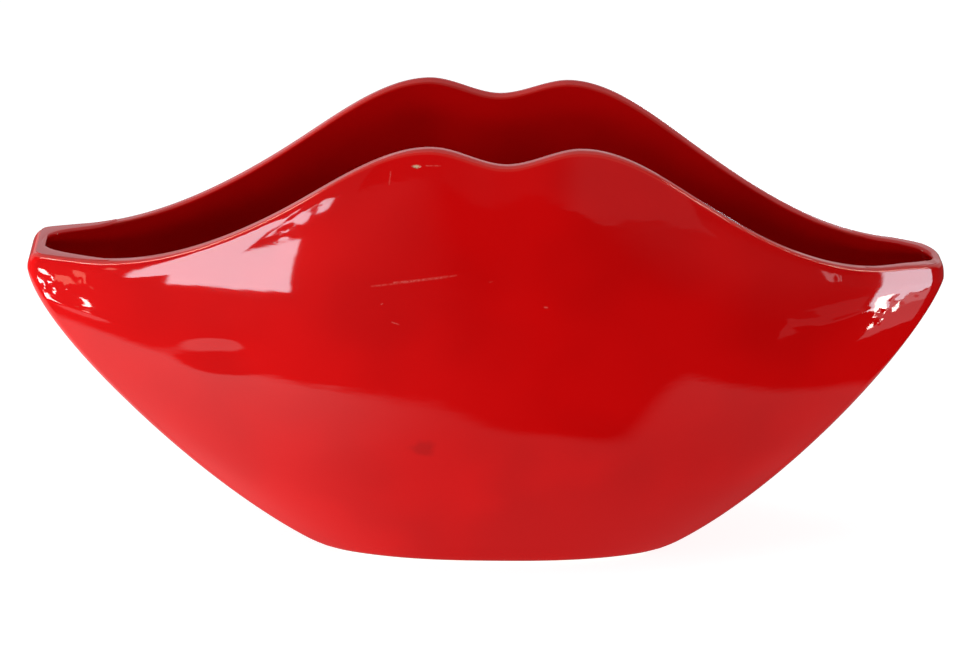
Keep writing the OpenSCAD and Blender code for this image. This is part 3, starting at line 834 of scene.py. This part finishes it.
def white_paper(look):
    """Matt white paper. The camera sees it plain and gloss sees its edges, and a glow with light
    and
    shade painted in: window light at its left and the vase's shade near its foot. What it throws
    back at the vase is a little brighter at the left, where the window is."""
    material, add = new_material("Matt white paper")
    place = add("ShaderNodeTexCoord", output="Object")
    x = add("ShaderNodeSeparateXYZ", (place,), "X")
    y = add("ShaderNodeSeparateXYZ", (place,), "Y")

    off = add(MATHS, (x, BAY_MIDDLE * MM), operation="SUBTRACT")
    off = add(MATHS, (off,), operation="ABSOLUTE")
    front = (off, 0.0, BAY_REACH * MM, BAY_Y * MM, SHEET_FRONT_Y * MM)
    front = add(RAMP, front, interpolation_type=SMOOTH)
    inwards = add(MATHS, (y, front), operation="SUBTRACT")
    sheet = (inwards, *(edge * MM for edge in SHEET_FRONT_SOFT))
    sheet = add(RAMP, sheet, interpolation_type=SMOOTH)
    for turn, out, soft in SHEET_EDGES:
        reach = add(VECTOR, (place, direction(turn, 0)), "Value", operation="DOT_PRODUCT")
        inside = add(RAMP, (reach, (out + soft) * MM, (out - soft) * MM), interpolation_type=SMOOTH)
        sheet = add(MATHS, (sheet, inside), operation="MULTIPLY")

    # How bright the sheet is in gloss, with light and shade painted in: painted window light from
    # its left to its middle, a painted lighter patch at its right end, and painted shade of the
    # vase towards the back, near its foot
    across = add(RAMP, (x, -240 * MM, 0.0, 1.45, 0.27), interpolation_type=SMOOTH)
    painted_light_right_end = add(RAMP, (x, 120 * MM, 220 * MM, 0.0, 0.14))
    painted_shade_near_foot = add(RAMP, (y, -180 * MM, -30 * MM, 1.0, 0.65))
    across = add(MATHS, (across, painted_light_right_end), operation="ADD")
    bright = add(MATHS, (sheet, across), operation="MULTIPLY")
    bright = add(MATHS, (bright, painted_shade_near_foot), operation="MULTIPLY")
    # The table around it, which is dark but for painted light at its far left and far right
    painted_light_far_left = add(RAMP, (x, -280 * MM, 50 * MM, 0.15, 0.0))
    painted_light_far_right = add(RAMP, (x, 280 * MM, 420 * MM, 0.0, 0.08))
    around = add(MATHS, (painted_light_far_left, painted_light_far_right), operation="ADD")
    bright = add(MATHS, (bright, around), operation="MAXIMUM")
    # What gloss sees of the sheet is this glow, with its light and shade painted in
    mirrored = add("ShaderNodeEmission", {"Strength": bright})

    left_gain, right_gain = 1.08, 0.94
    bounce = (x, -400 * MM, 400 * MM, look.bounce * left_gain, look.bounce * right_gain)
    thrown = add("ShaderNodeEmission", {"Strength": add(RAMP, bounce)})
    paint = add("ShaderNodeBsdfDiffuse", {"Color": (0.45, 0.45, 0.45, 1)})
    glow = add("ShaderNodeEmission", {"Strength": look.paper})
    shown = add("ShaderNodeAddShader", (paint, glow))
    by_gloss = add("ShaderNodeLightPath", output="Is Glossy Ray")
    by_camera = add("ShaderNodeLightPath", output="Is Camera Ray")
    unseen = add("ShaderNodeMixShader", (by_gloss, thrown, mirrored))
    seen = add("ShaderNodeMixShader", (by_camera, unseen, shown))
    add("ShaderNodeOutputMaterial", {"Surface": seen})
    return material


def material_once(name, maker, look):
    return bpy.data.materials.get(name) or maker(look)


def glaze_of(context):
    return material_once("Red gloss glaze on earthenware", red_glaze, context.scene.vase_glaze)


# ---- Operators ----


class VASE_OT_shells(bpy.types.Operator):
    """Model the front and rear half shells"""

    bl_idname = "vase.shells"
    bl_label = "Half shells"

    def execute(self, context):
        form = VaseForm(context.scene.vase_sizes)
        for depth_side, node in ((FRONT, "front_shell"), (REAR, "rear_shell")):
            piece = shell_piece(form, depth_side, f"glazed_{node}")
            finish_piece(piece, glaze_of(context), node)
        return {"FINISHED"}


class VASE_OT_seam_strips(bpy.types.Operator):
    """Model the two seam strips inside the tips"""

    bl_idname = "vase.seam_strips"
    bl_label = "Seam strips"

    def execute(self, context):
        form = VaseForm(context.scene.vase_sizes)
        for end, node in ((LEFT, "left_seam_strip"), (RIGHT, "right_seam_strip")):
            piece = strip_piece(form, end, f"glazed_{node}")
            finish_piece(piece, glaze_of(context), node)
        return {"FINISHED"}


class VASE_OT_floor(bpy.types.Operator):
    """Model the floor and the coil round it"""

    bl_idname = "vase.floor"
    bl_label = "Floor and coil"

    def execute(self, context):
        form = VaseForm(context.scene.vase_sizes)
        slab, coil = floor_piece(form, "glazed_floor"), coil_piece(form, "glazed_floor_coil")
        finish_piece(slab, glaze_of(context), "floor_slab")
        finish_piece(coil, glaze_of(context), "floor_seam_strip")
        return {"FINISHED"}


class VASE_OT_pads(bpy.types.Operator):
    """Model the four felt pads"""

    bl_idname = "vase.pads"
    bl_label = "Felt pads"

    def execute(self, context):
        cloth = material_once("Charcoal wool felt", felt, context.scene.vase_glaze)
        for depth in ("front", "rear"):
            for end in ("left", "right"):
                node = f"{depth}_{end}_pad"
                finish_piece(pad_piece(node, f"felt_{node}"), cloth, node)
        return {"FINISHED"}


def card(name, corners, material):
    """A flat card through four corners that shows in gloss alone."""
    deselect_all()
    bpy.ops.mesh.primitive_plane_add(size=1)
    piece = bpy.context.object
    piece.name = piece.data.name = name
    for vertex, corner in zip(piece.data.vertices, corners):
        vertex.co = corner
    piece.data.materials.append(material)
    piece.visible_camera = False
    piece.visible_shadow = False
    piece.visible_diffuse = False
    return piece


def upright_card(name, left, right, heights, material):
    """A card that stands over a line of the floor, from left to right (x, y) in millimetres."""
    corners = [Vector((x, y, z)) * MM for z in heights for x, y in (left, right)]
    return card(name, corners, material)


# Cards that gloss alone sees, for the windows, lamps and walls of the room. Each stands over a line
# of the floor from (x, y) to (x, y), between two heights, in millimetres.
CARDS = (
    ("window_left", (-293, -276), (-272, -284), (60, 160), "window"),
    ("window_right", (-272, -284), (-193, -311), (36, 88), "window"),
    ("window_upper", (-272, -284), (-233, -297), (88, 160), "window"),
    ("window_top_left", (-227, -299), (-195, -310), (107, 124), "window"),
    ("window_top_right", (-189, -312), (-178, -316), (117, 133), "window"),
    ("upper_light", (-520, -300), (-420, -420), (290, 350), "lamp"),
    ("left_lamp_high", (-237, -110), (-234, -112), (68, 86), "lamp"),
    ("left_lamp_middle", (-246, -102), (-241, -106), (44, 56), "lamp"),
    ("left_lamp_low", (-251, -97), (-244, -104), (24, 33), "lamp"),
    ("left_glint", (-224, -112), (-221, -114), (36, 44), "lamp"),
    ("left_blind_low", (-229, -112), (-223, -116), (60, 78), "blind"),
    ("left_blind_high", (-218, -116), (-214, -119), (62, 98), "blind"),
    ("left_chink", (-206, -120), (-203, -122), (112, 120), "blind"),
    ("side_window", (225, -105), (262, -83), (52, 130), "window"),
    ("side_sill", (236, -99), (262, -76), (40, 52), "sill"),
    ("side_wall", (236, -99), (262, -76), (14, 40), "low_wall"),
    ("side_panel", (183, -122), (222, -107), (48, 66), "panel"),
    ("side_chink_left", (203, -115), (205, -114), (94, 112), "sill"),
    ("side_chink_right", (207, -112), (210, -110), (94, 112), "sill"),
    ("right_glint", (214, -90), (218, -86), (58, 69), "lamp"),
    ("right_spark", (240, -94), (242, -91), (36, 42), "lamp"),
    ("right_spark_low", (232, -97), (235, -93), (28, 33), "lamp"),
    ("side_upper_light", (430, -330), (520, -260), (290, 340), "lamp"),
    ("rear_window", (300, 480), (120, 520), (2, 60), "window"),
    ("back_wall", (1500, 1900), (-1500, 1900), (600, 2000), "back_wall"),
)
# Dim screens all round: how far out, the ways their edges face, and their heights
SCREEN_OUT, SCREEN_TURNS, SCREEN_HEIGHTS = 1800, (-100, -60, -20, 20, 60, 100), (-10, 1300)
SCREENS_AT_WINDOW = 2
# The pale wall in front of them: how far out, the ways its edges face, and the heights of its foot
# at each edge and of its top
NEAR_WALL_OUT, NEAR_WALL_TURNS = 950, (0, 22, 37)
NEAR_WALL_FOOT, NEAR_WALL_TOP = (70, -10, -10), 700


class VASE_OT_stage(bpy.types.Operator):
    """Lay the floor and set the room, the lamps and the camera"""

    bl_idname = "vase.stage"
    bl_label = "Floor, lamps and camera"

    def execute(self, context):
        look = context.scene.vase_stage
        self.floor(look)
        self.room(look)
        self.soft_boxes(look)
        self.world(context, look)
        self.camera(context)
        return {"FINISHED"}

    def floor(self, look):
        deselect_all()
        bpy.ops.mesh.primitive_plane_add(size=8)
        floor = bpy.context.object
        floor.name = floor.data.name = "floor"
        floor.data.materials.append(white_paper(look))

    def room(self, look):
        """What gloss sees of the room: windows, lamps, walls and the dark between them."""
        lights = {
            "window": emitter("Window light", look.window, "#D6F3FF"),
            "lamp": emitter("Bare lamp", look.lamp, "#FFF8F0"),
            "back_wall": emitter("Pale wall behind", look.back_wall, "#F4F4F8"),
            "blind": emitter("Light through a cream blind", 3.5, "#FFD9BE"),
            "sill": emitter("Sill of the side window", 2.4, "#F4F4F8"),
            "low_wall": emitter("Wall under the side window", 0.9, "#F4F4F8"),
            "panel": emitter("Pale panel at the side", 0.2),
        }
        for name, left, right, heights, light in CARDS:
            upright_card(name, left, right, heights, lights[light])
        feet = [direction(turn, 0) * NEAR_WALL_OUT for turn in NEAR_WALL_TURNS]
        low = [(foot + Vector((0, 0, z))) * MM for foot, z in zip(feet, NEAR_WALL_FOOT)]
        high = [(foot + Vector((0, 0, NEAR_WALL_TOP))) * MM for foot in feet]
        near = shaded_wall()
        for i, side in enumerate(("left", "right")):
            card(f"near_wall_{side}", (*low[i : i + 2], *high[i : i + 2]), near)
        dim, at_window = emitter("Dim room", 0.04), emitter("Dim room at the window", 0.14)
        edges = [direction(turn, 0).xy * SCREEN_OUT for turn in SCREEN_TURNS]
        for i, (left, right) in enumerate(zip(edges, edges[1:])):
            light = at_window if i < SCREENS_AT_WINDOW else dim
            upright_card(f"screen_{i}", left, right, SCREEN_HEIGHTS, light)

    def soft_boxes(self, look):
        """Soft boxes low at the left and front and a large one overhead, unseen by gloss."""
        ahead = direction(0, 11) * 1200 + Vector((0, 0, 140))
        for name, place, aim, size, power in (
            ("left_soft_box", (-560, -110, 90), (-60, 0, 110), (250, 110), look.soft_box),
            ("front_soft_box", ahead, (0, 0, 110), (500, 130), look.front_box),
            ("top_soft_box", (0, 0, 1300), (0, 0, 0), (900, 600), look.top_box),
        ):
            place, aim = Vector(place) * MM, Vector(aim) * MM
            deselect_all()
            bpy.ops.object.light_add(type="AREA", location=place)
            box = bpy.context.object
            box.name = box.data.name = name
            box.data.shape = "RECTANGLE"
            box.data.size, box.data.size_y = (side * MM for side in size)
            box.data.energy = power
            box.rotation_euler = (aim - place).to_track_quat("-Z", "Y").to_euler()
            box.visible_glossy = False
            box.visible_camera = False

    def world(self, context, look):
        """White where it is looked at, and a lower even light on the vase."""
        world = bpy.data.worlds.new("White studio")
        context.scene.world = world
        world.use_nodes = True
        world.node_tree.nodes.clear()
        add = functools.partial(add_node, world.node_tree)
        seen = 0.0
        for ray in ("Is Camera Ray", "Is Transmission Ray", "Is Glossy Ray"):
            seen = add(MATHS, (seen, add("ShaderNodeLightPath", output=ray)), operation="MAXIMUM")
        strength = add(RAMP, (seen, 0.0, 1.0, look.ambient, 1.0))
        sky = add("ShaderNodeBackground", {"Strength": strength})
        add("ShaderNodeOutputWorld", {"Surface": sky})

    def camera(self, context):
        """A long lens from the front, a little to the left and above."""
        azimuth, elevation, roll = -3.0, 26.0, math.radians(2.0)
        target, distance = Vector((-0.9, 0, 88.2)) * MM, 1050 * MM
        back = direction(azimuth, elevation)
        right = direction(azimuth + 90, 0)
        up = back.cross(right)
        axes = (
            right * math.cos(roll) + up * math.sin(roll),
            up * math.cos(roll) - right * math.sin(roll),
            back,
            target + back * distance,
        )
        bpy.ops.object.camera_add()
        camera = bpy.context.object
        camera.matrix_world = Matrix([*zip(*axes), (0, 0, 0, 1)])
        camera.data.sensor_width = 36
        camera.data.lens = 103.58
        camera.data.clip_start = 0.05
        camera.data.clip_end = 50
        context.scene.camera = camera
        context.scene.view_settings.view_transform = "Standard"


class VASE_PT_panel(bpy.types.Panel):
    """The vase's pieces and its stage, in the sidebar"""

    bl_label = "Lips vase"
    bl_space_type = "VIEW_3D"
    bl_region_type = "UI"
    bl_category = "Vase"

    def draw(self, context):
        for operator in OPERATORS:
            self.layout.operator(operator.bl_idname)


OPERATORS = (VASE_OT_shells, VASE_OT_seam_strips, VASE_OT_floor, VASE_OT_pads, VASE_OT_stage)
CLASSES = (VaseSizes, GlazeLook, StageLook, *OPERATORS, VASE_PT_panel)


def register():
    for cls in CLASSES:
        bpy.utils.register_class(cls)
    bpy.types.Scene.vase_sizes = PointerProperty(type=VaseSizes)
    bpy.types.Scene.vase_glaze = PointerProperty(type=GlazeLook)
    bpy.types.Scene.vase_stage = PointerProperty(type=StageLook)


def unregister():
    del bpy.types.Scene.vase_stage, bpy.types.Scene.vase_glaze, bpy.types.Scene.vase_sizes
    for cls in reversed(CLASSES):
        bpy.utils.unregister_class(cls)


def main():
    register()
    bpy.ops.vase.shells()
    bpy.ops.vase.seam_strips()
    bpy.ops.vase.floor()
    bpy.ops.vase.pads()
    bpy.ops.vase.stage()


if __name__ == "__main__":
    main()
